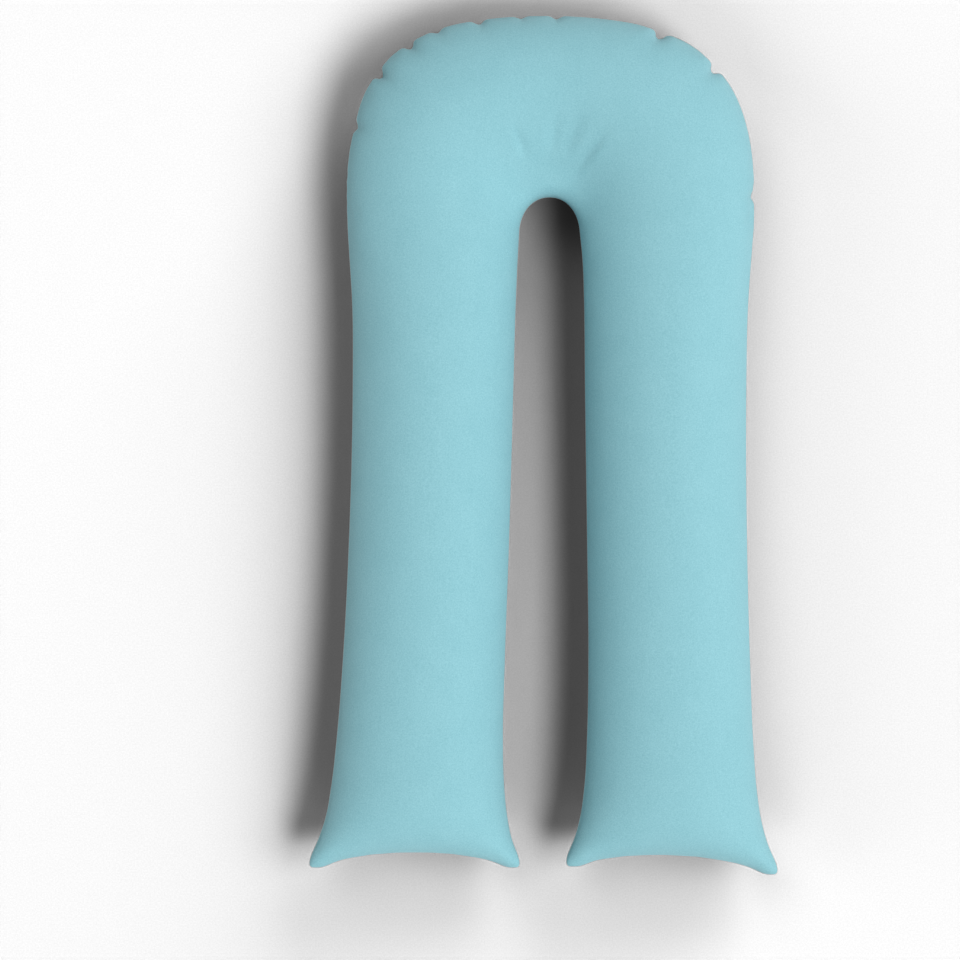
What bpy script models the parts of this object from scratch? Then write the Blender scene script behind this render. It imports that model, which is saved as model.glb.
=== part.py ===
"""U-shaped body pillow: two U-shaped cloth panels, sewn together all round and filled.

Metres, +Z up. The pillow lies flat with its bend at +Y and the open ends of its legs at -Y.
The origin is under the middle of its bounding box, on the surface it rests on.
Its outline is laid out from the bend centre, the middle of the small inner arc that joins the legs.
"""

import math

import bmesh
import bpy
import numpy as np
from mathutils import Matrix

# Driving dimensions
LEG_REACH = 1.078  # from the bend centre down to the tips of the left leg
RIGHT_INNER_EXTRA = -0.003  # how much further the right leg's inner tip reaches
RIGHT_OUTER_EXTRA = 0.0105  # and its outer tip, so that its end seam slants a little
INNER_ARC_HALF_WIDTH = 0.0505
INNER_ARC_HEIGHT = 0.0545
CROWN_LEG = 0.0885  # how far the top panel rises over the seam
CROWN_BEND = 0.098
SEAM_HEIGHT_LEG = 0.078  # seam line above the surface
SEAM_HEIGHT_BEND = 0.084
SEAM_DROOP_TIP = 0.004  # how much lower the seam hangs at the open ends
LEAD_IN_LENGTH = 0.30  # stretch of leg that already swells towards the bend
LEAD_IN_SHARE = 0.3  # share of the bend's extra thickness reached where it starts to turn
END_SAG = 0.0265  # how far the middle of an end seam is drawn in between its tips
END_SAG_FADE = 0.10  # distance over which the drawing in and the droop die away up the leg
END_SAG_FULLNESS = 2.6  # 2 draws the end seam in as a plain arc, more keeps it flatter in the middle
END_FILL_LENGTH = 0.16  # over which a leg swells from its end seam to full thickness
END_FILL_ROUNDNESS = 2.2
BELLY_PUSH = 1.12  # how much deeper than the crown the underside would hang, were it not resting
PUCKER_REACH = 0.045  # how far a pucker's trough runs in from the seam
PUCKER_TROUGH = 0.6  # trough depth over the crown, as a share of the notch's depth
PUCKER_SHARPNESS = 1.3  # 1 is a sharp valley, 2 a soft one
PUCKER_SPREAD = 1.2  # where a pucker's side sections lie, in half widths from its middle

# Edges of the legs, as distances sideways from the middle of the slot between them.
LEG_EDGES = np.array(
    [  # from_tip, left_outer, left_inner, right_inner, right_outer
        (0.000, -0.4050, -0.0500, 0.0290, 0.3850),
        (0.020, -0.4030, -0.0520, 0.0310, 0.3830),
        (0.034, -0.3980, -0.0580, 0.0355, 0.3770),
        (0.047, -0.3920, -0.0625, 0.0405, 0.3710),
        (0.081, -0.3800, -0.0690, 0.0510, 0.3610),
        (0.115, -0.3730, -0.0740, 0.0560, 0.3540),
        (0.183, -0.3630, -0.0780, 0.0620, 0.3465),
        (0.284, -0.3530, -0.0780, 0.0640, 0.3410),
        (0.453, -0.3430, -0.0710, 0.0640, 0.3360),
        (0.622, -0.3360, -0.0660, 0.0620, 0.3340),
        (0.791, -0.3330, -0.0610, 0.0590, 0.3340),
        (0.960, -0.3340, -0.0565, 0.0575, 0.3370),
        (1.028, -0.3380, -0.0540, 0.0550, 0.3410),
        (1.078, -0.3410, -0.0505, 0.0505, 0.3455),
    ]
)
# Outer edge round the bend, before its puckers. Angle 0 is the right leg's side, 180 the left's.
BEND_EDGE = np.array(
    [  # angle_deg, radius
        (0, 0.3455),
        (10, 0.3525),
        (22, 0.3685),
        (34, 0.3865),
        (44, 0.3960),
        (52, 0.3965),
        (62, 0.3860),
        (76, 0.3700),
        (90, 0.3635),
        (103, 0.3710),
        (118, 0.3880),
        (131, 0.3985),
        (140, 0.3945),
        (149, 0.3820),
        (160, 0.3615),
        (170, 0.3485),
        (180, 0.3410),
    ]
)
# Notches where the outer seam takes up the cloth that the bend leaves over.
PUCKERS = np.array(
    [  # angle_deg, notch_depth, half_width_deg
        (9.3, 0.0054, 2.0),
        (44.2, 0.0100, 1.7),
        (60.6, 0.0125, 1.9),
        (88.2, 0.0060, 1.5),
        (108.6, 0.0055, 1.8),
        (126.9, 0.0078, 1.4),
        (137.7, 0.0105, 1.5),
        (152.6, 0.0073, 1.8),
    ]
)

# Density of the cage that Subdivision Surface rounds off
LEG_SECTIONS = 11
BEND_SECTIONS = 16
STEPS_ACROSS = 10
SECTION_CLEARANCE = 2.2  # degrees between a pucker's sections and the even ones
ROUNDING_LEVELS = 1

CLOTH_COLOUR = (0.27, 0.62, 0.70, 1.0)
CLOTH_ROUGHNESS = 0.85


def through_rows(at, known, values):
    """Smooth curve through a table's rows: a cubic between rows, with the rows' own slopes."""
    slopes = np.gradient(values, known)
    row = np.clip(np.searchsorted(known, at) - 1, 0, len(known) - 2)
    step = known[row + 1] - known[row]
    t = (at - known[row]) / step
    start = (2 * t**3 - 3 * t**2 + 1) * values[row] + (t**3 - 2 * t**2 + t) * step * slopes[row]
    end = (3 * t**2 - 2 * t**3) * values[row + 1] + (t**3 - t**2) * step * slopes[row + 1]
    return start + end


def leg_sections():
    """Distances from the tips of the sections across a leg, close together near the end seam."""
    share = np.linspace(0, 1, LEG_SECTIONS, endpoint=False)
    return LEG_REACH * (0.13 * share + 0.87 * share**1.9)


def leg_seam(column, extra_reach=0.0):
    """Seam points down one edge of a leg, from its tip up to the bend."""
    from_tip = leg_sections()
    x = through_rows(from_tip, LEG_EDGES[:, 0], LEG_EDGES[:, column])
    y = -(1 - from_tip / LEG_REACH) * (LEG_REACH + extra_reach)
    return np.stack([x, y], axis=1)


def bend_angles():
    """Section angles round the bend, left to right: an even fan, with three on every pucker."""
    even = np.linspace(0, 180, BEND_SECTIONS)
    on_puckers = (PUCKERS[:, :1] + PUCKERS[:, 2:] * PUCKER_SPREAD * [-1, 0, 1]).ravel()
    clear = np.abs(even[:, None] - on_puckers).min(axis=1) > SECTION_CLEARANCE
    return np.radians(np.sort(np.concatenate([even[clear], on_puckers]))[::-1])


def pucker_notch(angle):
    """Depth of the notches in the outer seam at an angle: a sharp valley at each pucker."""
    away = np.abs(np.degrees(angle)[:, None] - PUCKERS[:, 0]) / PUCKERS[:, 2]
    return (PUCKERS[:, 1] * np.exp(-(away**PUCKER_SHARPNESS))).sum(axis=1)


def bend_seams():
    """Outer and inner seam points round the bend, from the left leg to the right."""
    angle = bend_angles()
    outward = np.stack([np.cos(angle), np.sin(angle)], axis=1)
    radius = through_rows(np.degrees(angle), BEND_EDGE[:, 0], BEND_EDGE[:, 1])
    radius -= pucker_notch(angle)
    inner = outward * [INNER_ARC_HALF_WIDTH, INNER_ARC_HEIGHT]
    return outward * radius[:, None], inner


def seam_lines():
    """Outer and inner seam points along the whole U, from the left leg's tips to the right's."""
    bend_outer, bend_inner = bend_seams()
    right_outer = leg_seam(4, RIGHT_OUTER_EXTRA)[::-1]
    right_inner = leg_seam(3, RIGHT_INNER_EXTRA)[::-1]
    outer = np.concatenate([leg_seam(1), bend_outer, right_outer])
    inner = np.concatenate([leg_seam(2), bend_inner, right_inner])
    return outer, inner


def along_u(on_leg, on_bend):
    """One value for each section along the U, the same up the left leg as down the right."""
    return np.concatenate([on_leg, on_bend, on_leg[::-1]])


def section_heights():
    """Distance from the end, crown, seam height and notch depth of each section along the U."""
    from_tip = leg_sections()
    angle = bend_angles()
    from_end = along_u(from_tip, np.full_like(angle, LEG_REACH))
    notch = along_u(np.zeros_like(from_tip), pucker_notch(angle))
    lead_in = np.clip(1 - (LEG_REACH - from_tip) / LEAD_IN_LENGTH, 0, 1) ** 2
    turning = LEAD_IN_SHARE + (1 - LEAD_IN_SHARE) * np.sin(angle)
    in_bend = along_u(LEAD_IN_SHARE * lead_in, turning)
    unfilled = 1 - np.clip(from_end / END_FILL_LENGTH, 0, 1)
    swell = np.sqrt(1 - unfilled**END_FILL_ROUNDNESS)
    crown = swell * (CROWN_LEG + (CROWN_BEND - CROWN_LEG) * in_bend)
    seam = SEAM_HEIGHT_LEG + (SEAM_HEIGHT_BEND - SEAM_HEIGHT_LEG) * in_bend
    seam -= SEAM_DROOP_TIP * np.exp(-from_end / END_SAG_FADE)
    return from_end, crown, seam, notch


def panel_points(is_top):
    """Grid of points of one panel: sections along the U by steps from inner to outer seam."""
    outer, inner = seam_lines()
    chord = np.linalg.norm(outer - inner, axis=1)[:, None]
    from_end, crown, seam, notch = (row[:, None] for row in section_heights())
    turn = np.linspace(0, math.pi, STEPS_ACROSS + 1)
    across = (1 - np.cos(turn)) / 2
    plan = inner[:, None] * (1 - across)[:, None] + outer[:, None] * across[:, None]
    drawn_in = 1 - np.abs(2 * across - 1) ** END_SAG_FULLNESS
    plan[..., 1] += END_SAG * np.exp(-from_end / END_SAG_FADE) * drawn_in
    trough = notch * PUCKER_TROUGH * np.exp(-chord * (1 - across) / PUCKER_REACH)
    rise = (crown - trough) * np.sin(turn)
    height = seam + rise if is_top else np.maximum(seam - rise * BELLY_PUSH, 0)
    height[:, [0, -1]] = seam
    height[[0, -1]] = seam[[0, -1]]
    return np.concatenate([plan, height[..., None]], axis=-1)


def add_panel(mesh, points):
    """One panel as a grid of cloth, laid on its points."""
    along, across = points.shape[0] - 1, points.shape[1] - 1
    grid = bmesh.ops.create_grid(mesh, x_segments=along, y_segments=across, size=0.5)
    for vert in grid["verts"]:
        i = round((vert.co.x + 0.5) * along)
        j = round((vert.co.y + 0.5) * across)
        vert.co = points[i, j]


def cloth_material():
    """Plain turquoise jersey."""
    material = bpy.data.materials.new("turquoise_jersey")
    material.use_nodes = True
    shader = material.node_tree.nodes["Principled BSDF"]
    shader.inputs["Base Color"].default_value = CLOTH_COLOUR
    shader.inputs["Roughness"].default_value = CLOTH_ROUGHNESS
    shader.inputs["Metallic"].default_value = 0.0
    return material


def sewn_mesh():
    """Both panels as one closed mesh, with a sharp crease along the seam that joins them."""
    cloth = bmesh.new()
    add_panel(cloth, panel_points(is_top=False))
    bmesh.ops.reverse_faces(cloth, faces=cloth.faces)
    add_panel(cloth, panel_points(is_top=True))
    crease = cloth.edges.layers.float.new("crease_edge")
    for edge in cloth.edges:
        edge[crease] = float(edge.is_boundary)
    bmesh.ops.remove_doubles(cloth, verts=cloth.verts, dist=1e-5)
    mesh = bpy.data.meshes.new("pillow")
    cloth.to_mesh(mesh)
    cloth.free()
    mesh.shade_smooth()
    return mesh


def centre_over_origin(item):
    """Moves an object's mesh sideways until its finished shape is centred over the origin."""
    finished = item.evaluated_get(bpy.context.evaluated_depsgraph_get()).to_mesh()
    places = np.array([vert.co for vert in finished.vertices])
    x, y, _ = (places.min(axis=0) + places.max(axis=0)) / 2
    item.data.transform(Matrix.Translation((-x, -y, 0)))


def build_pillow(collection):
    """The filled pillow as one closed solid."""
    pillow = bpy.data.objects.new("pillow", sewn_mesh())
    pillow.data.materials.append(cloth_material())
    collection.objects.link(pillow)
    rounding = pillow.modifiers.new("rounding", "SUBSURF")
    rounding.levels = ROUNDING_LEVELS
    rounding.render_levels = ROUNDING_LEVELS
    centre_over_origin(pillow)


def main():
    for old in list(bpy.data.objects):
        bpy.data.objects.remove(old)
    collection = bpy.data.collections.new("body_pillow")
    bpy.context.scene.collection.children.link(collection)
    build_pillow(collection)


main()
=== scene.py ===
"""U-shaped body pillow in plain turquoise jersey, lying on a pale studio floor.

The cover is two U-shaped panels, sewn together all round and filled. Each panel is a grid of points:
the run goes along the U (0 to 1 up the left leg, 1 to 2 round the bend, 2 to 3 down the right leg) and
the turn goes across it, from 0 at the inner seam to pi at the outer seam. The seam is laid on the
outline, a cloth simulation blows the panels up from it, and the fine gathers, creases and the valley
of the seam are then pressed into the settled cloth. All sizes are in metres.
"""

import logging
import math
from dataclasses import dataclass, field
from enum import Enum

import bpy
import numpy as np
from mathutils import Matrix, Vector
from numpy.typing import NDArray

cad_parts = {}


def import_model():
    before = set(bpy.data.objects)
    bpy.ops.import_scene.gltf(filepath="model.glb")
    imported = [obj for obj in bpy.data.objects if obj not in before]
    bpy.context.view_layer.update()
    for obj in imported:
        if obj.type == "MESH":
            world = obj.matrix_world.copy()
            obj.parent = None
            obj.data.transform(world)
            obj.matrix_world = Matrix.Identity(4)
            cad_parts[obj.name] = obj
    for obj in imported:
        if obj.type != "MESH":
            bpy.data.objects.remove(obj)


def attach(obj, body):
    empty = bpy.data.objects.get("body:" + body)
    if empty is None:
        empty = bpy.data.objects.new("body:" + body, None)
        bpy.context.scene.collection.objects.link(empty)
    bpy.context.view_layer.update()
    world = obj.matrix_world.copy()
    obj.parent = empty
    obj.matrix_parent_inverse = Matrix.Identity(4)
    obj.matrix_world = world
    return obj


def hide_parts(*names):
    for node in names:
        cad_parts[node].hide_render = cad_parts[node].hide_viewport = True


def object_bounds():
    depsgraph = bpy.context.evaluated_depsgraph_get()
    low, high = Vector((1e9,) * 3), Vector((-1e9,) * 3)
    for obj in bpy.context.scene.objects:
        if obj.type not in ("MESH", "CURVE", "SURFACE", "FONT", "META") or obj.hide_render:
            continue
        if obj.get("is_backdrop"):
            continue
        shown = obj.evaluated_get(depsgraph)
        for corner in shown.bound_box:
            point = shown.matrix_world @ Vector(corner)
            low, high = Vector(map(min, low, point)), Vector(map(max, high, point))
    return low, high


Array = NDArray[np.float64]
Colour = tuple[float, float, float, float]
Socket = bpy.types.NodeSocket
LOG = logging.getLogger("body_pillow")


class Panel(Enum):
    """The two panels of the cover, by which way they bulge from the seam."""

    TOP = 1
    BOTTOM = -1


class Leg(Enum):
    """The two legs, by the run that their end seam lies at."""

    LEFT = 0
    RIGHT = 3


def through_rows(known: Array, values: Array, at: Array) -> Array:
    """Reads a curve or a grid between its rows.

    Between two neighbouring rows the value is a cubic that meets both rows and their slopes, where
    a row's slope is the one its neighbours give it.

    Args:
        known: where each row stands, growing.
        values: one entry for each row, a number or an array.
        at: where to read, within the rows.

    Returns:
        One entry for each place in at.
    """
    slopes = np.gradient(values, known, axis=0)
    row = np.clip(np.searchsorted(known, at) - 1, 0, len(known) - 2)
    shape = (-1,) + (1,) * (values.ndim - 1)
    step = (known[row + 1] - known[row]).reshape(shape)
    t = (at - known[row]).reshape(shape) / step
    start = (2 * t**3 - 3 * t**2 + 1) * values[row] + (t**3 - 2 * t**2 + t) * step * slopes[row]
    end = (3 * t**2 - 2 * t**3) * values[row + 1] + (t**3 - t**2) * step * slopes[row + 1]
    return start + end


def bell(distance: Array, width: float | Array) -> Array:
    """Soft hump, 1 at no distance and fading as exp(-(distance / width) squared)."""
    return np.exp(-((distance / width) ** 2))


def unit(vectors: Array, shortest: float = 1e-9) -> Array:
    """Vectors scaled to length 1 along their last axis, where those under the shortest stay short."""
    return vectors / np.maximum(np.linalg.norm(vectors, axis=-1, keepdims=True), shortest)


def arch(angle: Array, half_width: float | Array, height: float, squareness: float) -> Array:
    """Distance from the foot of an arch's middle to its line, in a direction.

    The arch is half a superellipse: its x over the half width and its y over the height, each to
    the power of the squareness, add up to 1.

    Args:
        angle: directions in radians, from 0 on the right to pi on the left.
        half_width: half width of its foot.
        height: its height.
        squareness: its power: 2 is an ellipse, and more is squarer.

    Returns:
        One distance for each direction.
    """
    sideways = np.abs(np.cos(angle) / half_width) ** squareness
    upwards = np.abs(np.sin(angle) / height) ** squareness
    return (sideways + upwards) ** (-1 / squareness)


@dataclass(frozen=True)
class Outline:
    """The line that the two panels are sewn on, seen from above and laid out from the bend centre.

    Attributes:
        reach: distance from the bend centre down to the left leg's tips.
        right_inner_extra: how much further the right leg's inner tip reaches.
        right_outer_extra: how much further its outer tip reaches, so its end seam slants.
        arc_half_width: half width of the small inner arc that joins the legs.
        arc_height: its height over the bend centre.
        arc_squareness: its power as an arch.
        arc_taper: how much narrower it gets for each metre up, as a share.
        end_sag: how far the middle of an end seam is drawn in between its tips.
        end_sag_fade: distance up the leg over which that dies away.
        end_sag_fullness: how flat the drawn-in middle is, as a power.
        ear_fullness: share of the half seam over which its ends stay round and full.
        tip_crowding: how much closer the sections stand at the tips, from 0 to 1.
        tip_crowding_share: share of the leg over which that eases off.
        leg_edges: rows of (from tip, left outer, left inner, right inner, right outer).
        ear_depth: how far the tips are rounded off sideways.
        ear_length: distance up the leg over which that dies away.
        bend_left: half width of the bend's even curve on the left.
        bend_right: the same on the right.
        bend_height: height of that curve over the bend centre.
        bend_squareness: its power as an arch.
        puffs: rows of (angle in degrees, how far the cloth stands outside that curve).
        gathers: rows of (angle in degrees, notch depth, half width in degrees, crease length).
        notch_sharpness: power of the notches' shape: 1 is pointed, 2 is round.
    """

    reach: float = 1.0826
    right_inner_extra: float = -0.002
    right_outer_extra: float = 0.0118
    arc_half_width: float = 0.0495
    arc_height: float = 0.0522
    arc_squareness: float = 2.2
    arc_taper: float = 2.0
    end_sag: float = 0.0276
    end_sag_fade: float = 0.10
    end_sag_fullness: float = 2.1
    ear_fullness: float = 0.13
    tip_crowding: float = 0.67
    tip_crowding_share: float = 0.04
    leg_edges: Array = field(
        default_factory=lambda: np.array(
            [
                (0.0000, -0.4110, -0.0455, 0.0240, 0.3905),
                (0.0200, -0.4055, -0.0510, 0.0290, 0.3850),
                (0.0500, -0.3925, -0.0625, 0.0415, 0.3715),
                (0.0900, -0.3790, -0.0705, 0.0520, 0.3595),
                (0.1400, -0.3700, -0.0755, 0.0585, 0.3515),
                (0.2200, -0.3610, -0.0775, 0.0625, 0.3455),
                (0.3500, -0.3510, -0.0740, 0.0645, 0.3405),
                (0.5500, -0.3410, -0.0665, 0.0620, 0.3355),
                (0.8000, -0.3345, -0.0595, 0.0585, 0.3340),
                (0.9700, -0.3355, -0.0550, 0.0570, 0.3375),
                (1.0300, -0.3395, -0.0525, 0.0550, 0.3420),
                (1.0826, -0.3430, -0.0495, 0.0495, 0.3465),
            ]
        )
    )
    ear_depth: float = 0.0147
    ear_length: float = 0.0029
    bend_left: float = 0.3430
    bend_right: float = 0.3465
    bend_height: float = 0.3570
    bend_squareness: float = 3.0
    puffs: Array = field(
        default_factory=lambda: np.array(
            [
                (0, 0.0),
                (12, 0.0013),
                (34, -0.0004),
                (52, -0.0031),
                (70, -0.0023),
                (88, 0.0020),
                (106, 0.0005),
                (122, 0.0002),
                (138, 0.0030),
                (154, 0.0013),
                (168, 0.0023),
                (180, 0.0),
            ]
        )
    )
    gathers: Array = field(
        default_factory=lambda: np.array(
            [
                (9.0, 0.0050, 2.2, 0.045),
                (43.9, 0.0098, 1.8, 0.060),
                (60.2, 0.0120, 2.1, 0.066),
                (88.2, 0.0044, 1.5, 0.045),
                (97.8, 0.0032, 1.4, 0.040),
                (109.0, 0.0064, 1.9, 0.050),
                (119.8, 0.0045, 1.4, 0.045),
                (127.6, 0.0085, 1.5, 0.060),
                (137.9, 0.0108, 1.7, 0.066),
                (152.4, 0.0052, 1.8, 0.050),
            ]
        )
    )
    notch_sharpness: float = 1.3

    def from_tip(self, run: Array) -> Array:
        """Distance up its leg of each section, which is the full reach all round the bend.

        The distance grows evenly with the run, less an exponential that crowds the sections at the
        tips, scaled to end at the reach.

        Args:
            run: where along the U the sections stand.

        Returns:
            One distance for each section.
        """
        share = np.clip(np.minimum(run, 3 - run), 0, 1)
        crowd = self.tip_crowding * self.tip_crowding_share
        eased = share - crowd * (1 - np.exp(-share / self.tip_crowding_share))
        return self.reach * eased / (1 - crowd * (1 - math.exp(-1 / self.tip_crowding_share)))

    def angle(self, run: Array) -> Array:
        """Angle round the bend in degrees: 180 up the left leg, falling evenly to 0 at the right."""
        return np.clip(180 * (2 - run), 0, 180)

    def notch(self, angle: Array) -> Array:
        """Depth of the gathers' notches in the outer seam: a pointed valley at each gather."""
        away = np.abs(angle[:, None] - self.gathers[:, 0]) / self.gathers[:, 2]
        return (self.gathers[:, 1] * np.exp(-(away**self.notch_sharpness))).sum(axis=1)

    def bend_radius(self, angle: Array) -> Array:
        """Distance from the bend centre to the outer seam: an even arch and its puffs.

        Args:
            angle: directions round the bend, in degrees.

        Returns:
            One radius for each direction, before the gathers.
        """
        half_width = np.where(angle > 90, self.bend_left, self.bend_right)
        even = arch(np.radians(angle), half_width, self.bend_height, self.bend_squareness)
        return even + through_rows(self.puffs[:, 0], self.puffs[:, 1], angle)

    def seams(self, run: Array, gathered: bool = True) -> tuple[Array, Array]:
        """Points of the outer and the inner seam line.

        On a leg, x is read from the edge rows, rounded off exponentially at the tips, and y falls
        evenly from the bend centre to the tip. Round the bend, the outer line is the bend's radius
        less the notches, and the inner line is an arch that tapers evenly upwards.

        Args:
            run: where along the U to read.
            gathered: whether the gathers' notches are cut in.

        Returns:
            Two arrays of (x, y), outer first.
        """
        from_tip = self.from_tip(run)
        turned = np.radians(self.angle(run))
        outward = np.stack([np.cos(turned), np.sin(turned)], axis=1)
        radius = self.bend_radius(self.angle(run)) - self.notch(self.angle(run)) * gathered
        on_bend = ((run >= 1) & (run <= 2))[:, None]
        arc = outward * arch(turned, self.arc_half_width, self.arc_height, self.arc_squareness)[:, None]
        arc[:, 0] *= 1 - self.arc_taper * arc[:, 1]
        rounding = self.ear_depth * np.exp(-from_tip / self.ear_length)
        lines = []
        for left, right, inset, extra, bend in (
            (1, 4, rounding, self.right_outer_extra, outward * radius[:, None]),
            (2, 3, -rounding, self.right_inner_extra, arc),
        ):
            tips, known = self.leg_edges, self.leg_edges[:, 0]
            x_left = through_rows(known, tips[:, left], from_tip) + inset
            x_right = through_rows(known, tips[:, right], from_tip) - inset
            reach = np.where(run > 2, self.reach + extra, self.reach)
            y = -(1 - from_tip / self.reach) * reach
            leg = np.stack([np.where(run < 1, x_left, x_right), y], axis=1)
            lines.append(np.where(on_bend, bend, leg))
        return lines[0], lines[1]

    def plan(self, run: Array, across: Array, gathered: bool = True) -> Array:
        """Panel points seen from above: straight rulings from seam to seam, drawn in at the ends.

        The drawing in is 1 less a power of the distance from the seam's middle. It starts softly at
        the tips, as 1 less a bell, and dies away exponentially up the leg.

        Args:
            run: where along the U the sections stand.
            across: share of the way from the inner seam to the outer seam.
            gathered: whether the gathers' notches are cut in.

        Returns:
            An array of (x, y), sections by steps across.
        """
        outer, inner = self.seams(run, gathered)
        share = across[:, None]
        flat = inner[:, None] * (1 - share) + outer[:, None] * share
        from_middle = np.abs(2 * across - 1)
        sag = (1 - from_middle**self.end_sag_fullness) * (1 - bell(1 - from_middle, self.ear_fullness))
        fade = np.exp(-self.from_tip(run) / self.end_sag_fade)
        flat[..., 1] += self.end_sag * fade[:, None] * sag
        return flat


@dataclass(frozen=True)
class Filling:
    """How full the cover is, and how high its seam is carried.

    Attributes:
        crown_leg: rise of the top panel over the seam along a leg.
        crown_bend: the same at the middle of the bend.
        seam_leg: seam height over the floor along a leg.
        seam_bend: the same at the middle of the bend.
        tip_droop: how much lower the seam hangs at the open ends.
        arc_lift: how much higher the tight seam of the inner arc is drawn up.
        lead_in: stretch of leg that already swells towards the bend.
        lead_in_share: share of the bend's extra reached where it starts to turn.
        end_length: stretch over which a leg swells from its end seam.
        end_roundness: how blunt that swelling is, as a power.
        belly: how much deeper than the crown the underside would hang, were it not resting.
        floor_softness: how gradually the underside turns into the flat that it rests on.
    """

    crown_leg: float = 0.0860
    crown_bend: float = 0.0960
    seam_leg: float = 0.078
    seam_bend: float = 0.084
    tip_droop: float = 0.004
    arc_lift: float = 0.008
    lead_in: float = 0.30
    lead_in_share: float = 0.3
    end_length: float = 0.16
    end_roundness: float = 2.2
    belly: float = 1.08
    floor_softness: float = 0.004

    def bending(self, outline: Outline, run: Array) -> Array:
        """How far a section belongs to the bend: 0 down a leg, a parabola, then a sine up to 1.

        Args:
            outline: the line that the cover is sewn on.
            run: where the sections stand.

        Returns:
            One share for each section.
        """
        to_bend = (outline.reach - outline.from_tip(run)) / self.lead_in
        swelling = self.lead_in_share * np.clip(1 - to_bend, 0, 1) ** 2
        return swelling + (1 - self.lead_in_share) * np.sin(np.radians(outline.angle(run)))

    def crown(self, outline: Outline, run: Array) -> Array:
        """Rise of each section: its full crown, times a rounded swelling from the end seam.

        Args:
            outline: the line that the cover is sewn on.
            run: where the sections stand.

        Returns:
            One rise for each section.
        """
        full = self.crown_leg + (self.crown_bend - self.crown_leg) * self.bending(outline, run)
        empty = 1 - np.clip(outline.from_tip(run) / self.end_length, 0, 1)
        return full * np.sqrt(1 - empty**self.end_roundness)

    def carried(self, outline: Outline, run: Array, turn: Array) -> Array:
        """Height that each point is carried at, over which the panels bulge up and down.

        It is the seam's height, drooping a little towards the tips. Round the bend the inner seam is
        drawn up, as the squared sine of the angle, and that eases off up to the crown as the
        squared cosine of the turn.

        Args:
            outline: the line that the cover is sewn on.
            run: where the sections stand.
            turn: turns of the points across.

        Returns:
            A grid of heights, sections by steps across.
        """
        seam = self.seam_leg + (self.seam_bend - self.seam_leg) * self.bending(outline, run)
        seam -= self.tip_droop * np.exp(-outline.from_tip(run) / outline.end_sag_fade)
        drawn_up = self.arc_lift * np.sin(np.radians(outline.angle(run))) ** 2
        return seam[:, None] + drawn_up[:, None] * np.maximum(np.cos(turn), 0) ** 2

    def rest(self, height: Array) -> Array:
        """Heights that stay over the floor: a parabola takes over close to it, then the flat.

        Args:
            height: heights that the underside would hang at, were there no floor.

        Returns:
            The heights it rests at.
        """
        soft = self.floor_softness
        rounded = (height + soft) ** 2 / (4 * soft)
        return np.where(height > soft, height, np.where(height < -soft, 0, rounded))


@dataclass(frozen=True)
class Density:
    """How closely a panel's points stand.

    Attributes:
        on_leg: number of sections on a leg.
        on_bend: number of sections round the bend.
        across: number of evenly spaced points in each section.
    """

    on_leg: int
    on_bend: int
    across: int

    def course(self) -> Array:
        """The run of each section, spaced evenly up a leg, round the bend and down the other leg."""
        up = np.linspace(0, 1, self.on_leg, endpoint=False)
        return np.concatenate([up, np.linspace(1, 2, self.on_bend), 3 - up[::-1]])


@dataclass(frozen=True)
class SewnGrid:
    """Numbering of the points of two panels that share every point of the seam between them.

    Attributes:
        sections: number of sections along the U.
        steps: number of points in each section.
    """

    sections: int
    steps: int

    def inside(self) -> NDArray[np.bool_]:
        """Finds the grid points that are off the seam.

        Returns:
            A grid of flags.
        """
        mask = np.zeros((self.sections, self.steps), bool)
        mask[1:-1, 1:-1] = True
        return mask

    def numbers(self, panel: Panel) -> NDArray[np.int64]:
        """Point numbers of a panel: the bottom takes the top's on the seam and its own inside.

        Args:
            panel: which panel it is.

        Returns:
            A grid of numbers into the joined list of points.
        """
        top = np.arange(self.sections * self.steps).reshape(self.sections, self.steps)
        if panel is Panel.TOP:
            return top
        own = top.copy()
        own[self.inside()] = top.size + np.arange(self.inside().sum())
        return own

    def join(self, top: Array, bottom: Array) -> Array:
        """One list of points (or point values) from both panels' grids."""
        return np.concatenate([top.reshape(self.sections * self.steps, -1), bottom[self.inside()]])

    def split(self, points: Array, panel: Panel) -> Array:
        """A panel's grid, read back from the joined list."""
        return points[self.numbers(panel)]

    def quads(self) -> NDArray[np.int64]:
        """Joins the points into faces, each turned so that it faces out of the pillow.

        Returns:
            Four point numbers for each face.
        """
        faces = []
        for panel in Panel:
            at = self.numbers(panel)
            corners = np.stack([at[:-1, :-1], at[1:, :-1], at[1:, 1:], at[:-1, 1:]], axis=-1)
            faces.append(corners.reshape(-1, 4)[:, :: panel.value])
        return np.concatenate(faces)

    def mesh(self, name: str, points: Array) -> bpy.types.Mesh:
        """Makes a smooth mesh of the joined points.

        Args:
            name: what to call it.
            points: the joined list of points.

        Returns:
            The new mesh.
        """
        mesh = bpy.data.meshes.new(name)
        mesh.from_pydata(points, [], self.quads())
        mesh.validate()
        mesh.shade_smooth()
        return mesh


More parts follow.
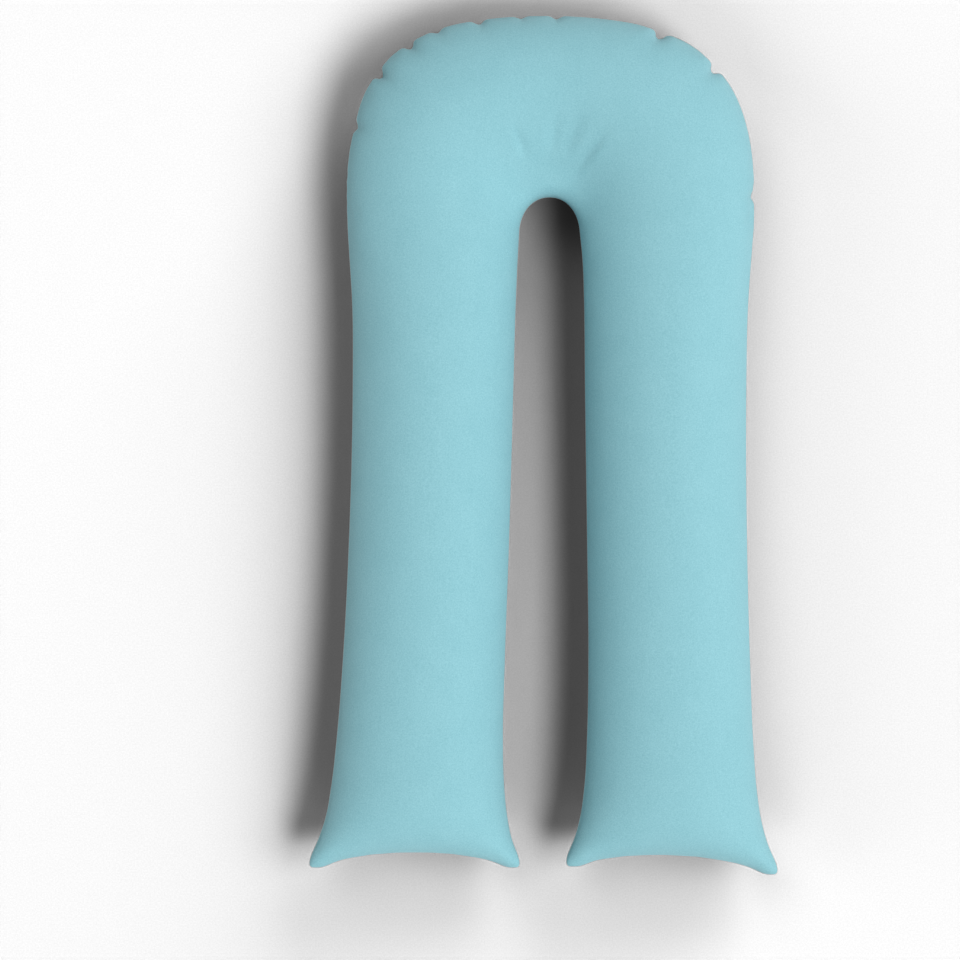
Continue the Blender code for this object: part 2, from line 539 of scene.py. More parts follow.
@dataclass(frozen=True)
class ClothSettings:
    """The simulation that blows the panels up.

    Attributes:
        frames: how many steps it settles for.
        pressure: how hard the filling pushes.
        stretch: stiffness against being stretched or squeezed.
        shear: stiffness against being skewed.
        bending: stiffness against being folded.
        mass: mass of a point.
        spare_at_bend: extra length of the cloth at the outside of the bend, as a share.
        spare: extra size of the cloth everywhere, as a share.
        steps_a_frame: how finely each step is worked out.
        air_drag: how much the air slows it.
    """

    frames: int = 20
    pressure: float = 4.0
    stretch: float = 40.0
    shear: float = 12.0
    bending: float = 2.0
    mass: float = 0.15
    spare_at_bend: float = 0.045
    spare: float = 0.015
    steps_a_frame: int = 5
    air_drag: float = 3.0

    def apply(self, settings: bpy.types.ClothSettings) -> None:
        """Sets a cloth simulation up as this.

        Args:
            settings: the simulation's own settings.
        """
        settings.quality = self.steps_a_frame
        settings.mass = self.mass
        settings.tension_stiffness = settings.compression_stiffness = self.stretch
        settings.shear_stiffness = self.shear
        settings.bending_stiffness = self.bending
        settings.air_damping = self.air_drag
        settings.use_pressure = True
        settings.uniform_pressure_force = self.pressure
        settings.effector_weights.gravity = 0


@dataclass(frozen=True)
class ArcDip:
    """The wide dip over the inner arc, where the two legs' fillings part.

    Attributes:
        depth: how deep it is.
        middle: how far up from the bend centre it is deepest.
        foot: how far aside of the bend centre its line starts.
        lean: how far to the right its line goes for each metre up.
        left: half width to the left of that line.
        right: half width to the right of it.
        up: how far it runs up the bend.
        down: how far it runs down towards the legs.
        onset: distance from the inner seam over which it sets in.
    """

    depth: float = 0.025
    middle: float = 0.085
    foot: float = -0.021
    lean: float = 0.14
    left: float = 0.130
    right: float = 0.088
    up: float = 0.13
    down: float = 0.07
    onset: float = 0.048

    def sink(self, plan: Array, from_inner: Array) -> Array:
        """Depth of the dip: its depth, times a bell across, one along, and 1 less one from the seam.

        Args:
            plan: where the points are seen from above, laid out from the bend centre.
            from_inner: their distance over the cloth to the inner seam.

        Returns:
            One depth for each point.
        """
        aside = plan[..., 0] - self.foot - self.lean * plan[..., 1]
        across = bell(aside, np.where(aside < 0, self.left, self.right))
        beyond = plan[..., 1] - self.middle
        along = bell(beyond, np.where(beyond > 0, self.up, self.down))
        return self.depth * across * along * (1 - bell(from_inner, self.onset))


@dataclass
class Pillow:
    """The filled cover.

    Attributes:
        outline: the line it is sewn on.
        filling: how full it is.
        cloth: how it is simulated.
        dip: the dip over the inner arc.
        centre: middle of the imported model's box, which the pillow is centred on.
        coarse: how closely its points stand while it settles.
        fine: how closely they stand on the finished surface.
        seam_rows: extra points beside each seam, at these shares of the way across.
        correction_reach: distance over which the seam's exact line pulls the cloth along.
        gather_pull: distance over which a gather's notch pulls the cloth in.
        valley_depth: how deep the seam is drawn in between the panels.
        valley_width: half width of that valley.
        gather_trough: depth of a gather's crease, as a share of its notch.
        gather_width: half width of a gather's crease at the seam.
        gather_spread: how much wider it gets for each metre it runs in.
        gather_span: first and last run that the gathers' creases reach.
        ridge_height: height of the ridges that flank a gather's crease, as a share of its depth.
        ridge_offset: how far aside they stand, in widths of the crease.
        ridge_width: how wide they are, in widths of the crease.
        creases: rows of (from x, from y, to x, to y, depth, left half width, right half width) on
            the top panel, laid out from the bend centre.
        crease_lead: power that moves a crease's deepest place towards its start.
        tucks: rows of (leg, share across, depth, half width) in the two end seams.
        end_width: length of an end seam.
        tuck_length: distance up the leg over which a tuck dies away.
        flat_fade: height over the floor below which the creases fade.
    """

    outline: Outline
    filling: Filling
    cloth: ClothSettings
    dip: ArcDip
    centre: Array
    coarse: Density = Density(on_leg=100, on_bend=100, across=31)
    fine: Density = Density(on_leg=150, on_bend=360, across=58)
    seam_rows: tuple[float, ...] = (0.0, 0.0045, 0.0095)
    correction_reach: float = 0.016
    gather_pull: float = 0.045
    valley_depth: float = 0.0022
    valley_width: float = 0.0032
    gather_trough: float = 0.42
    gather_width: float = 0.0050
    gather_spread: float = 0.20
    gather_span: tuple[float, float] = (0.9, 2.1)
    ridge_height: float = 0.35
    ridge_offset: float = 1.9
    ridge_width: float = 0.9
    creases: tuple[tuple[float, ...], ...] = (
        (0.0320, 0.0713, 0.1085, 0.1807, 0.0029, 0.018, 0.009),
        (0.0195, 0.1020, 0.0590, 0.2035, 0.0025, 0.018, 0.012),
        (-0.0012, 0.1050, 0.0140, 0.2050, 0.0022, 0.014, 0.010),
        (-0.0382, 0.1006, -0.0662, 0.1776, 0.0024, 0.008, 0.009),
    )
    crease_lead: float = 0.7
    tucks: tuple[tuple[Leg, float, float, float], ...] = (
        (Leg.LEFT, 0.33, 0.0012, 0.010),
        (Leg.LEFT, 0.42, 0.0008, 0.008),
        (Leg.LEFT, 0.58, 0.0007, 0.008),
        (Leg.LEFT, 0.70, 0.0011, 0.009),
        (Leg.RIGHT, 0.28, 0.0009, 0.009),
        (Leg.RIGHT, 0.45, 0.0008, 0.008),
        (Leg.RIGHT, 0.61, 0.0012, 0.010),
    )
    end_width: float = 0.35
    tuck_length: float = 0.018
    flat_fade: float = 0.02

    def blown(self, run: Array, turn: Array, spare: float, spare_at_bend: float) -> tuple[Array, Array]:
        """Both panels as plain half ellipses on the outline, with some cloth to spare.

        A point's place across is (1 - cos turn) / 2 and its rise is the crown times sin turn. Spare
        cloth pushes points away from the bend centre, most at the outer seam.

        Args:
            run: where the sections stand.
            turn: turns of the points across.
            spare: extra size everywhere, as a share.
            spare_at_bend: extra length at the outside of the bend, as a share.

        Returns:
            The top and the bottom grid, with the seam at height 0.
        """
        across = (1 - np.cos(turn)) / 2
        plan = self.outline.plan(run, across, gathered=False)
        bent = np.clip(self.filling.bending(self.outline, run) / self.filling.lead_in_share, 0, 1)
        plan *= 1 + spare / 2 + spare_at_bend * bent[:, None, None] * across[:, None]
        rise = self.filling.crown(self.outline, run)[:, None] * np.sin(turn) * (1 + spare)
        rise[:, [0, -1]] = 0
        top = np.concatenate([plan, rise[..., None]], axis=-1)
        return top, top * [1, 1, -1]

    def settle(self, run: Array, turn: Array) -> tuple[Array, Array]:
        """Blows the panels up with Blender's cloth simulation, with the seam held on its line.

        Args:
            run: where the sections stand.
            turn: turns of the points across.

        Returns:
            The settled top and bottom grids, with the seam at height 0.
        """
        grid = SewnGrid(len(run), len(turn))
        start = grid.join(*self.blown(run, turn, 0, 0))
        # The cloth wants to be as large as it was cut, and crowds where the seam holds it smaller.
        cut = grid.join(*self.blown(run, turn, self.cloth.spare, self.cloth.spare_at_bend))
        cover = bpy.data.objects.new("settling", grid.mesh("settling", start))
        bpy.context.scene.collection.objects.link(cover)
        cover.shape_key_add(name="Basis")
        relaxed = cover.shape_key_add(name="cut")
        relaxed.data.foreach_set("co", cut.astype(np.float32).ravel())
        held = cover.vertex_groups.new(name="seam")
        held.add(grid.numbers(Panel.TOP)[~grid.inside()].tolist(), 1.0, "REPLACE")
        sim = cover.modifiers.new("cloth", "CLOTH")
        sim.collision_settings.use_collision = False
        self.cloth.apply(sim.settings)
        sim.settings.rest_shape_key = relaxed
        sim.settings.vertex_group_mass = held.name
        for frame in range(1, self.cloth.frames + 1):
            bpy.context.scene.frame_set(frame)
        settled = cover.evaluated_get(bpy.context.evaluated_depsgraph_get()).to_mesh()
        points = np.empty(len(settled.vertices) * 3)
        settled.vertices.foreach_get("co", points)
        bpy.data.meshes.remove(cover.data)
        bpy.context.scene.frame_set(1)
        points = points.reshape(-1, 3)
        return grid.split(points, Panel.TOP), grid.split(points, Panel.BOTTOM)

    def seam_distances(self, surface: Array) -> tuple[Array, Array, Array]:
        """Measures how far each point is from the seams, over the cloth.

        Args:
            surface: a panel's grid.

        Returns:
            Distances to the inner, the outer and the nearer end seam.
        """
        steps = np.linalg.norm(np.diff(surface, axis=1), axis=-1)
        from_inner = np.pad(np.cumsum(steps, axis=1), ((0, 0), (1, 0)))
        runs = np.linalg.norm(np.diff(surface, axis=0), axis=-1)
        up = np.pad(np.cumsum(runs, axis=0), ((1, 0), (0, 0)))
        return from_inner, from_inner[:, -1:] - from_inner, np.minimum(up, up[-1:] - up)

    def refine(
        self, panel: Panel, coarse: Array, nodes: tuple[Array, Array], run: Array, turn: Array
    ) -> Array:
        """Finer copy of a settled panel, its seam set back on the exact outline.

        The grid is read between its rows along the U, then across it. What the reading misses of
        the outline at the seam is added back, fading exponentially over the cloth. The gathers'
        notches are pulled in over a longer stretch of it, as a bell.

        Args:
            panel: which panel it is.
            coarse: the settled grid.
            nodes: run and turn of the settled grid.
            run: run of each finer section.
            turn: turn of each finer point across.

        Returns:
            The finer grid, raised to its place over the floor.
        """
        along = through_rows(nodes[0], coarse, run)
        surface = through_rows(nodes[1], along.swapaxes(0, 1), turn).swapaxes(0, 1)
        from_inner, from_outer, _ = self.seam_distances(surface)
        plan = self.outline.plan(run, np.array([0.0, 1.0]), gathered=False)
        for line, edge, distance in ((plan[:, 0], 0, from_inner), (plan[:, 1], -1, from_outer)):
            missed = line - surface[:, edge, :2]
            surface[..., :2] += missed[:, None] * np.exp(-distance / self.correction_reach)[..., None]
        pulled = self.outline.seams(run)[0] - self.outline.seams(run, gathered=False)[0]
        surface[..., :2] += pulled[:, None] * bell(from_outer, self.gather_pull)[..., None]
        carried = self.filling.carried(self.outline, run, turn)
        if panel is Panel.TOP:
            surface[..., 2] += carried
        else:
            surface[..., 2] = self.filling.rest(carried + surface[..., 2] * self.filling.belly)
        return surface

    def gather_creases(self, surface: Array, run: Array) -> Array:
        """Depth of the creases that run in from the notches of the outer seam.

        Each is a bell across, as wide as its width plus its spread times the distance run in, and
        fades along its length as another bell. A low ridge flanks it on either side, a bell as well.

        Args:
            surface: a panel's grid.
            run: run of each section.

        Returns:
            A grid of depths.
        """
        _, from_outer, _ = self.seam_distances(surface)
        radius = np.linalg.norm(surface[..., :2] - self.place, axis=-1)
        angle = self.outline.angle(run)[:, None]
        depth = np.zeros(surface.shape[:2])
        for at, notch, _, length in self.outline.gathers:
            aside = np.radians(angle - at) * radius
            width = self.gather_width + self.gather_spread * from_outer
            ridge = self.ridge_height * bell(
                np.abs(aside) - self.ridge_offset * width, self.ridge_width * width
            )
            depth += notch * self.gather_trough * bell(from_outer, length) * (bell(aside, width) - ridge)
        first, last = self.gather_span
        return depth * ((run > first) & (run < last))[:, None]

    def arc_creases(self, surface: Array) -> Array:
        """Depth of the soft creases that fan out over the inner arc.

        Each follows a straight line: a bell across it, with its own width on either side, times
        a squared sine along it.

        Args:
            surface: the top panel's grid.

        Returns:
            A grid of depths.
        """
        depth = np.zeros(surface.shape[:2])
        for x0, y0, x1, y1, deep, left, right in self.creases:
            start = self.place + [x0, y0]
            length = math.hypot(x1 - x0, y1 - y0)
            heading = np.array([x1 - x0, y1 - y0]) / length
            offset = surface[..., :2] - start
            share = np.clip((offset @ heading) / length, 0, 1)
            aside = offset @ [-heading[1], heading[0]]
            along = np.sin(math.pi * share**self.crease_lead) ** 2
            depth += deep * bell(aside, np.where(aside > 0, left, right)) * along
        return depth

    def end_tucks(self, surface: Array, run: Array) -> Array:
        """Depth of the small tucks at the end seams: bells across, fading exponentially up the leg.

        Args:
            surface: a panel's grid.
            run: run of each section.

        Returns:
            A grid of depths.
        """
        from_inner, from_outer, from_end = self.seam_distances(surface)
        share = from_inner / (from_inner + from_outer)
        depth = np.zeros(surface.shape[:2])
        for leg, at, deep, width in self.tucks:
            on_leg = (np.abs(run - leg.value) < 1)[:, None]
            fading = np.exp(-from_end / self.tuck_length)
            depth += on_leg * deep * bell((share - at) * self.end_width, width) * fading
        return depth

    def seam_valley(self, surface: Array) -> Array:
        """Shift of each point towards the inside of the cloth, where the seam draws it in.

        The shift is the valley's depth times a bell of the distance to the nearest seam, and it is
        level: across the U beside the inner and outer seams, and along it beside the end seams.

        Args:
            surface: a panel's grid.

        Returns:
            A grid of shifts.
        """
        from_inner, from_outer, from_end = self.seam_distances(surface)
        across = unit((surface[:, -1:] - surface[:, :1]) * [1, 1, 0])
        towards_outer = bell(from_inner, self.valley_width) - bell(from_outer, self.valley_width)
        shift = across * towards_outer[..., None]
        shift[..., 1] += bell(from_end, self.valley_width)
        return shift * self.valley_depth

    def press(self, panel: Panel, surface: Array, run: Array) -> Array:
        """The panel with its creases pressed in along the normal, and the seam's valley.

        The normal is the cross product of the grid's own directions. Creases fade where the cloth
        lies on the floor.

        Args:
            panel: which panel it is.
            surface: its grid.
            run: run of each section.

        Returns:
            The finished grid.
        """
        normal = unit(np.cross(np.gradient(surface, axis=0), np.gradient(surface, axis=1))) * panel.value
        depth = self.gather_creases(surface, run) + self.end_tucks(surface, run)
        if panel is Panel.TOP:
            from_inner, _, _ = self.seam_distances(surface)
            depth += self.arc_creases(surface) + self.dip.sink(surface[..., :2] - self.place, from_inner)
        else:
            depth *= np.clip(surface[..., 2] / self.flat_fade, 0, 1)
        depth[[0, -1]] = 0
        depth[:, [0, -1]] = 0
        pressed = surface - normal * depth[..., None] + self.seam_valley(surface)
        pressed[..., 2] = np.maximum(pressed[..., 2], 0)
        return pressed

    def cut_places(self, run: Array, turn: Array) -> Array:
        """Where each point lies on the flat cloth that its panel is cut from.

        Across the U a point stands at its share of the half girth, so the knit keeps its scale
        down the sides. Its section's middle stays where it is seen from above.

        Args:
            run: run of each section.
            turn: turn of each point across.

        Returns:
            A grid of (x, y).
        """
        outer, inner = self.outline.seams(run)
        middle = (outer + inner) / 2
        direction = unit(outer - inner)
        girth = np.linalg.norm(outer - inner, axis=1) * 0.5 + self.filling.crown(self.outline, run)
        offset = (turn / math.pi - 0.5) * (girth * math.pi / 2)[:, None]
        return middle[:, None] + direction[:, None] * offset[..., None]

    def fine_turn(self) -> Array:
        """Spaces the finished surface's points evenly across, with closer ones beside each seam.

        Returns:
            The turn of each point across.
        """
        beside = np.array(self.seam_rows)
        first = beside[-1] + 1 / self.fine.across
        between = np.linspace(first, 1 - first, self.fine.across)
        return np.concatenate([beside, between, 1 - beside[::-1]]) * math.pi

    @property
    def place(self) -> Array:
        """Where the bend centre stands, so that the outline's box is centred on the model's."""
        edges = np.concatenate(self.outline.seams(self.fine.course()))
        return self.centre[:2] - (edges.min(axis=0) + edges.max(axis=0)) / 2

    def build(self) -> bpy.types.Object:
        """Makes the finished cover as one closed mesh.

        Returns:
            The pillow's object, with the cloth map "cloth" and the seam attributes on its mesh.
        """
        nodes = self.coarse.course(), np.linspace(0, math.pi, self.coarse.across)
        settled = self.settle(*nodes)
        run, turn = self.fine.course(), self.fine_turn()
        grid = SewnGrid(len(run), len(turn))
        panels = []
        for panel, coarse in zip(Panel, settled):
            surface = self.refine(panel, coarse, nodes, run, turn)
            surface[..., :2] += self.place
            panels.append(self.press(panel, surface, run))
        mesh = grid.mesh("cover", grid.join(*panels))
        self.map_cloth(mesh, grid, panels, run, turn)
        cover = bpy.data.objects.new("cover", mesh)
        bpy.context.scene.collection.objects.link(cover)
        return cover

    def map_cloth(
        self, mesh: bpy.types.Mesh, grid: SewnGrid, panels: list[Array], run: Array, turn: Array
    ) -> None:
        """Adds the cloth map and the two seam attributes that the finish reads.

        These are the distance to the nearest seam, and how far along it the point lies: up the leg
        from its tip, or below nought along the end seam from the nearer tip.

        Args:
            mesh: the finished mesh.
            grid: its numbering.
            panels: its top and bottom grids.
            run: run of each section.
            turn: turn of each point across.
        """
        cut = self.cut_places(run, turn)
        flat = grid.join(cut, cut)
        corners = np.empty(len(mesh.loops), dtype=np.int64)
        mesh.loops.foreach_get("vertex_index", corners)
        mesh.uv_layers.new(name="cloth").uv.foreach_set("vector", flat[corners].ravel())
        distances, runs = [], []
        for surface in panels:
            inner, outer, end = self.seam_distances(surface)
            side = np.minimum(inner, outer)
            along_leg = np.where(inner < outer, end[:, :1], end[:, -1:])
            distances.append(np.minimum(side, end)[..., None])
            runs.append(np.where(end <= side, -side, along_leg)[..., None])
        for name, values in (("seam_distance", distances), ("seam_run", runs)):
            attribute = mesh.attributes.new(name, "FLOAT", "POINT")
            attribute.data.foreach_set("value", grid.join(*values).ravel().astype(np.float32))


@dataclass(frozen=True)
class NodeBoard:
    """A node tree, with short ways to add to it.

    Attributes:
        tree: the tree itself.
        family: what its node types start with.
    """

    tree: bpy.types.NodeTree
    family: str = "ShaderNode"

    def add(
        self, kind: str, inputs: dict[str | int, object] | None = None, **settings: object
    ) -> bpy.types.Node:
        """Adds a node.

        Args:
            kind: the node's type, without the family in front.
            inputs: for each input, a value or the output that feeds it.
            settings: the node's own settings.

        Returns:
            The new node.
        """
        node = self.tree.nodes.new(self.family + kind)
        for name, value in settings.items():
            setattr(node, name, value)
        for socket, value in (inputs or {}).items():
            if isinstance(value, Socket):
                self.tree.links.new(value, node.inputs[socket])
            else:
                node.inputs[socket].default_value = value
        return node

    def noise(self, place: Socket, scale: float, detail: float, roughness: float = 0.5) -> Socket:
        """Adds a noise, its scale in specks to a metre, and returns its value, about 0.5 on average."""
        inputs = {"Vector": place, "Scale": scale, "Detail": detail, "Roughness": roughness}
        return self.add("TexNoise", inputs).outputs["Fac"]

    def math(self, operation: str, *values: object) -> Socket:
        """Adds a Math node on the given values and returns its result."""
        return self.add("Math", dict(enumerate(values)), operation=operation).outputs[0]

    def tint(self, shader: bpy.types.Node, share: Socket, low: Colour, high: Colour) -> None:
        """Colours a shader from the low colour, where the share is 0, to the high one, where it is 1."""
        # A Mix node has sockets for every kind of data, and these are the ones for colours.
        mix = self.add("Mix", {"Factor": share, 6: low, 7: high}, data_type="RGBA")
        self.tree.links.new(mix.outputs[2], shader.inputs["Base Color"])


@dataclass(frozen=True)
class JerseyFinish:
    """Plain dyed cotton jersey with a soft, slightly hairy face.

    Attributes:
        colour: the dye's colour.
        shade: the same where the yarn lies a little deeper.
        mottle_size: size of the soft patches of colour.
        grain_size: size of the fine grain that the yarn gives.
        wale: width of one knitted column.
        course: height of one knitted row.
        hairs_per_metre: how many of the hairs' fine specks lie in a metre.
        mottle_share: share of the soft patches in the colour, where the rest is grain.
        noise_span: lowest and highest value of the noise that the colours span.
        knit_share: height of the knit, as a share of the hairs'.
        knit_relief: strength and height of the knit and the hairs.
        stitch_relief: strength and height of the stitches' puckers.
        stitch_length: length of one stitch of the seam.
        seam_width: how far the stitches pucker the cloth.
        roughness: how matt the cloth is.
        gloss: how much light it reflects when seen face on.
        sheen: how much the hairs catch the light.
        sheen_roughness: how widely they scatter it.
        sheen_tint: colour of that light.
    """

    colour: Colour = (0.334, 0.640, 0.705, 1.0)
    shade: Colour = (0.229, 0.510, 0.576, 1.0)
    mottle_size: float = 0.05
    grain_size: float = 0.0022
    wale: float = 0.0011
    course: float = 0.0008
    hairs_per_metre: float = 900.0
    mottle_share: float = 0.12
    noise_span: tuple[float, float] = (0.3, 0.7)
    knit_share: float = 0.5
    knit_relief: tuple[float, float] = (0.5, 0.0003)
    stitch_relief: tuple[float, float] = (0.8, 0.0008)
    stitch_length: float = 0.0075
    seam_width: float = 0.007
    roughness: float = 0.92
    gloss: float = 0.25
    sheen: float = 0.18
    sheen_roughness: float = 0.45
    sheen_tint: Colour = (0.80, 0.95, 1.0, 1.0)

    def wave(self, board: NodeBoard, place: Socket, length: float) -> Socket:
        """A sine of a coordinate with the given wavelength."""
        return board.math("SINE", board.math("MULTIPLY", place, 2 * math.pi / length))

    def dye(self, board: NodeBoard, place: Socket, shader: bpy.types.Node) -> None:
        """Colours the cloth: a fine grain and soft patches, from the shade to the colour.

        Args:
            board: the material's nodes.
            place: where on the pillow a point lies.
            shader: the shader to colour.
        """
        grain = board.noise(place, 1 / self.grain_size, detail=3.0, roughness=0.65)
        mottle = board.noise(place, 1 / self.mottle_size, detail=2.0)
        blend = board.math(
            "ADD",
            board.math("MULTIPLY", grain, 1 - self.mottle_share),
            board.math("MULTIPLY", mottle, self.mottle_share),
        )
        lowest, highest = self.noise_span
        share = board.add("MapRange", {"Value": blend, "From Min": lowest, "From Max": highest})
        board.tint(shader, share.outputs["Result"], self.shade, self.colour)

    def knit(self, board: NodeBoard, place: Socket) -> Socket:
        """Relief of the knit and the hairs: a sine across times one along the cloth, and a noise.

        Args:
            board: the material's nodes.
            place: where on the pillow a point lies.

        Returns:
            The cloth's direction with that relief.
        """
        flat = board.add("UVMap", uv_map="cloth").outputs["UV"]
        across, along, _ = board.add("SeparateXYZ", {"Vector": flat}).outputs
        loops = board.math(
            "MULTIPLY", self.wave(board, across, self.wale), self.wave(board, along, self.course)
        )
        hairs = board.noise(place, self.hairs_per_metre, detail=4.0)
        relief = board.math("ADD", board.math("MULTIPLY", loops, self.knit_share), hairs)
        strength, height = self.knit_relief
        return board.add(
            "Bump", {"Height": relief, "Strength": strength, "Distance": height}
        ).outputs["Normal"]

    def stitches(self, board: NodeBoard, cloth: Socket) -> Socket:
        """Relief of the stitches: a sine along the seam that fades softly away from it.

        Args:
            board: the material's nodes.
            cloth: the cloth's direction so far.

        Returns:
            The cloth's direction with that relief as well.
        """
        distance = board.add("Attribute", attribute_name="seam_distance").outputs["Fac"]
        run = board.add("Attribute", attribute_name="seam_run").outputs["Fac"]
        near = board.add(
            "MapRange",
            {"Value": distance, "From Min": 0.0, "From Max": self.seam_width, "To Min": 1.0, "To Max": 0.0},
            interpolation_type="SMOOTHSTEP",
        ).outputs["Result"]
        pucker = board.math("MULTIPLY", self.wave(board, run, self.stitch_length), near)
        strength, height = self.stitch_relief
        return board.add(
            "Bump", {"Height": pucker, "Strength": strength, "Distance": height, "Normal": cloth}
        ).outputs["Normal"]

    def material(self) -> bpy.types.Material:
        """Builds the material: the dyed cloth, its knit and hairs, and the seam's stitches.

        Returns:
            The new material.
        """
        material = bpy.data.materials.new("turquoise jersey")
        material.use_nodes = True
        board = NodeBoard(material.node_tree)
        shader = material.node_tree.nodes["Principled BSDF"]
        place = board.add("TexCoord").outputs["Object"]
        self.dye(board, place, shader)
        board.tree.links.new(self.stitches(board, self.knit(board, place)), shader.inputs["Normal"])
        shader.inputs["Roughness"].default_value = self.roughness
        shader.inputs["Specular IOR Level"].default_value = self.gloss
        shader.inputs["Sheen Weight"].default_value = self.sheen
        shader.inputs["Sheen Roughness"].default_value = self.sheen_roughness
        shader.inputs["Sheen Tint"].default_value = self.sheen_tint
        return material


@dataclass(frozen=True)
class FloorFinish:
    """Matt pale floor paint with a fine speckle.

    Attributes:
        pale: colour of the paint.
        speck: the same where a speck lies.
        speck_size: size of the specks.
        noise_span: lowest and highest value of the noise that the colours span.
        roughness: how matt it is.
        gloss: how much light it reflects when seen face on.
    """

    pale: Colour = (0.465, 0.465, 0.465, 1.0)
    speck: Colour = (0.435, 0.435, 0.435, 1.0)
    speck_size: float = 0.0025
    noise_span: tuple[float, float] = (0.3, 0.7)
    roughness: float = 0.9
    gloss: float = 0.1

    def material(self) -> bpy.types.Material:
        """Builds the material: paint whose tone speckles with a fine noise.

        Returns:
            The new material.
        """
        material = bpy.data.materials.new("pale floor paint")
        material.use_nodes = True
        board = NodeBoard(material.node_tree)
        shader = material.node_tree.nodes["Principled BSDF"]
        place = board.add("TexCoord").outputs["Object"]
        specks = board.noise(place, 1 / self.speck_size, detail=2.0)
        lowest, highest = self.noise_span
        share = board.add("MapRange", {"Value": specks, "From Min": lowest, "From Max": highest})
        board.tint(shader, share.outputs["Result"], self.speck, self.pale)
        shader.inputs["Roughness"].default_value = self.roughness
        shader.inputs["Specular IOR Level"].default_value = self.gloss
        return material


class Lit(Enum):
    """What a lamp is flagged to shine on."""

    PILLOW = "lit pillow"
    FLOOR = "lit floor"


@dataclass(frozen=True)
class SoftLight:
    """A far, soft studio lamp.

    Attributes:
        name: what it is called.
        lit: what it shines on.
        bearing: direction of the lamp from the pillow, in degrees from +X towards +Y.
        height: how high it stands, in degrees over the floor.
        power: its strength on a surface that faces it.
        spread: how wide it looks from the pillow, in degrees.
        distance: how far off it is drawn, which its light does not depend on.
    """

    name: str
    lit: Lit
    bearing: float
    height: float
    power: float
    spread: float
    distance: float = 4.0

    def build(self) -> bpy.types.Object:
        """Makes the lamp, shining from its direction at the pillow or the floor.

        Returns:
            The lamp's object.
        """
        bearing, height = math.radians(self.bearing), math.radians(self.height)
        level = math.cos(height)
        towards = Vector((level * math.cos(bearing), level * math.sin(bearing), math.sin(height)))
        lamp = bpy.data.lights.new(self.name, "SUN")
        lamp.energy = self.power
        lamp.angle = math.radians(self.spread)
        holder = bpy.data.objects.new(self.name, lamp)
        holder.rotation_euler = towards.to_track_quat("Z", "Y").to_euler()
        holder.location = towards * self.distance
        holder.light_linking.receiver_collection = bpy.data.collections[self.lit.value]
        bpy.context.scene.collection.objects.link(holder)
        return holder


@dataclass(frozen=True)
class Retouch:
    """The picture's finish: the floor turned neutral grey, with its shadows deepened.

    Attributes:
        deepening: power that the floor's brightness is raised to.
    """

    deepening: float = 2.0

    def apply(self, floor: bpy.types.Object) -> None:
        """Sets up the compositor, where a matte gives the floor's share of each pixel.

        Args:
            floor: the sheet to retouch.
        """
        scene = bpy.context.scene
        scene.view_layers[0].use_pass_cryptomatte_object = True
        scene.use_nodes = True
        scene.node_tree.nodes.clear()
        board = NodeBoard(scene.node_tree, "CompositorNode")
        picture = board.add("RLayers").outputs["Image"]
        matte = board.add("CryptomatteV2", {"Image": picture}, matte_id=floor.name).outputs["Matte"]
        grey = board.add("RGBToBW", {"Image": picture}).outputs["Val"]
        deep = board.add("Gamma", {"Image": grey, "Gamma": self.deepening}).outputs["Image"]
        # Both pictures that go into the mix are called Image, so they are told apart by number.
        finished = board.add("MixRGB", {"Fac": matte, 1: picture, 2: deep}).outputs["Image"]
        board.add("Composite", {"Image": finished})


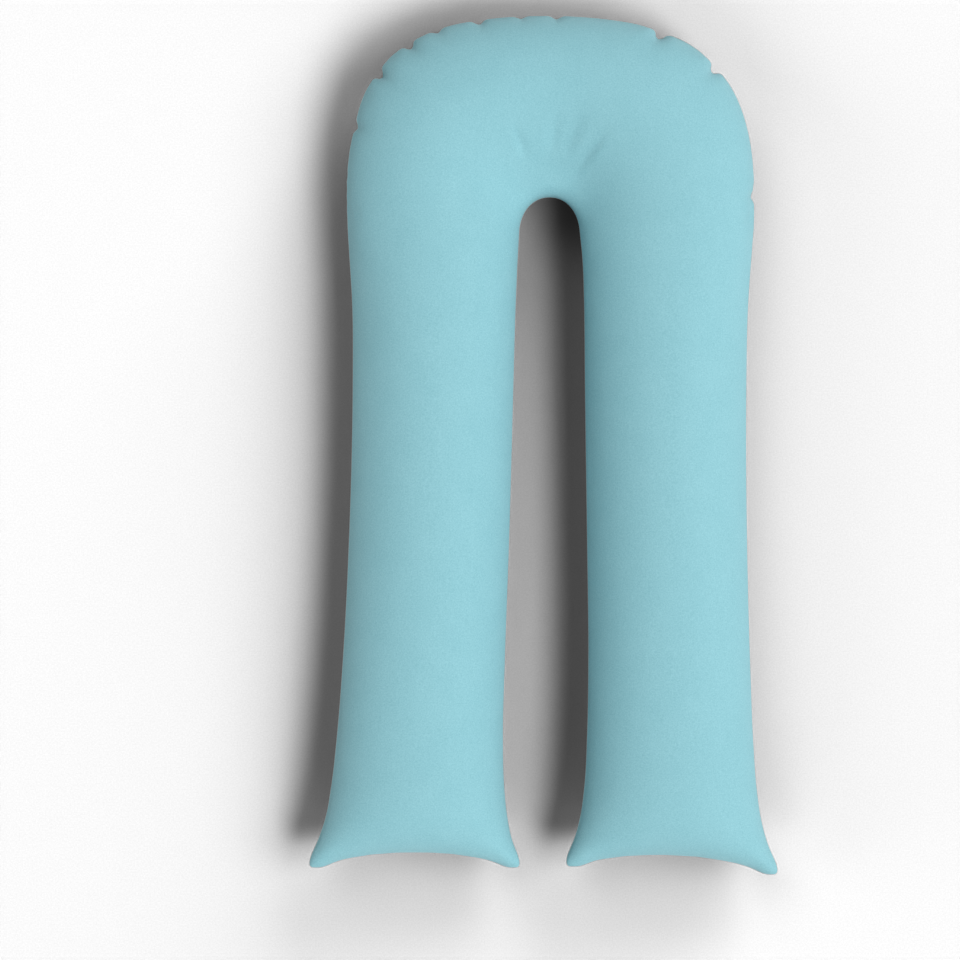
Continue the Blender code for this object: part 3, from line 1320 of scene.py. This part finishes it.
@dataclass
class Studio:
    """The pale floor, the soft lights and the camera straight overhead.

    Attributes:
        floor: the floor's paint.
        floor_size: length of the floor's sides.
        ambience: strength of the even white light from all round.
        lights: the lamps.
        retouch: how the picture is finished.
        frame_centre: the point of the pillow's seam height that the picture is centred on.
        frame_width: width of the picture at that height.
        lens: focal length of the camera in millimetres.
        sensor: width of its sensor in millimetres.
    """

    floor: FloorFinish = FloorFinish()
    floor_size: float = 24.0
    ambience: float = 0.1
    lights: tuple[SoftLight, ...] = (
        SoftLight("key light", Lit.PILLOW, -25, 65, 2.45, 35),
        SoftLight("top light", Lit.PILLOW, 0, 90, 0.65, 35),
        SoftLight("side light", Lit.PILLOW, 0, 25, 0.32, 35),
        SoftLight("floor key light", Lit.FLOOR, -45, 50, 2.48, 25),
        SoftLight("floor light, right", Lit.FLOOR, 0, 45, 2.18, 40),
        SoftLight("floor light, back", Lit.FLOOR, 60, 15, 3.88, 40),
        SoftLight("floor light, back left", Lit.FLOOR, 120, 45, 1.06, 40),
        SoftLight("floor light, left", Lit.FLOOR, 180, 15, 1.28, 40),
        SoftLight("floor light, front left", Lit.FLOOR, 240, 30, 1.39, 40),
        SoftLight("floor light, front", Lit.FLOOR, -70, 15, 1.25, 40),
    )
    retouch: Retouch = Retouch()
    frame_centre: tuple[float, float, float] = (-0.1065, -0.0565, 0.08)
    frame_width: float = 1.6224
    lens: float = 100.0
    sensor: float = 36.0

    def build_floor(self) -> bpy.types.Object:
        """Makes the floor, a square sheet at height 0 under the pillow.

        Returns:
            The floor's object.
        """
        half = self.floor_size / 2
        corners = [(-half, -half, 0), (half, -half, 0), (half, half, 0), (-half, half, 0)]
        mesh = bpy.data.meshes.new("floor")
        mesh.from_pydata(corners, [], [(0, 1, 2, 3)])
        mesh.materials.append(self.floor.material())
        sheet = bpy.data.objects.new("floor", mesh)
        bpy.context.scene.collection.objects.link(sheet)
        sheet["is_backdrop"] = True
        return sheet

    def light(self, things: dict[Lit, bpy.types.Object]) -> None:
        """Sets up the lamps, each on the thing that it is meant for.

        Args:
            things: the objects that the lamps shine on.
        """
        for lit, thing in things.items():
            bpy.data.collections.new(lit.value).objects.link(thing)
        for light in self.lights:
            light.build()

    def build_ambience(self) -> None:
        """Sets the even white light from all round."""
        world = bpy.data.worlds.new("studio")
        world.use_nodes = True
        background = world.node_tree.nodes["Background"]
        background.inputs["Color"].default_value = (1, 1, 1, 1)
        background.inputs["Strength"].default_value = self.ambience
        bpy.context.scene.world = world

    def build_camera(self) -> bpy.types.Object:
        """Makes the camera, far enough overhead that its view is as wide as the frame.

        Returns:
            The camera's object.
        """
        optics = bpy.data.cameras.new("camera")
        optics.lens = self.lens
        optics.sensor_width = self.sensor
        camera = bpy.data.objects.new("camera", optics)
        distance = self.frame_width * self.lens / optics.sensor_width
        camera.location = Vector(self.frame_centre) + Vector((0, 0, distance))
        bpy.context.scene.collection.objects.link(camera)
        bpy.context.scene.camera = camera
        return camera

    def build(self, cover: bpy.types.Object) -> None:
        """Makes everything round the pillow.

        Args:
            cover: the pillow.
        """
        self.build_ambience()
        self.build_camera()
        floor = self.build_floor()
        self.light({Lit.PILLOW: cover, Lit.FLOOR: floor})
        self.retouch.apply(floor)
        bpy.context.scene.view_settings.view_transform = "Standard"


def main() -> None:
    """Builds the pillow and its studio in order, and reports each piece."""
    logging.basicConfig(level=logging.INFO, format="%(name)s: %(message)s")
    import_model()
    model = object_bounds()
    centre = np.array((model[0] + model[1]) / 2)
    pillow = Pillow(Outline(), Filling(), ClothSettings(), ArcDip(), centre)
    cover = pillow.build()
    cover.data.materials.append(JerseyFinish().material())
    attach(cover, "root")
    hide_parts("pillow")
    LOG.info("cover: %d points, %d faces", len(cover.data.vertices), len(cover.data.polygons))
    Studio().build(cover)
    LOG.info("studio: floor, lights and camera")


if __name__ == "__main__":
    main()
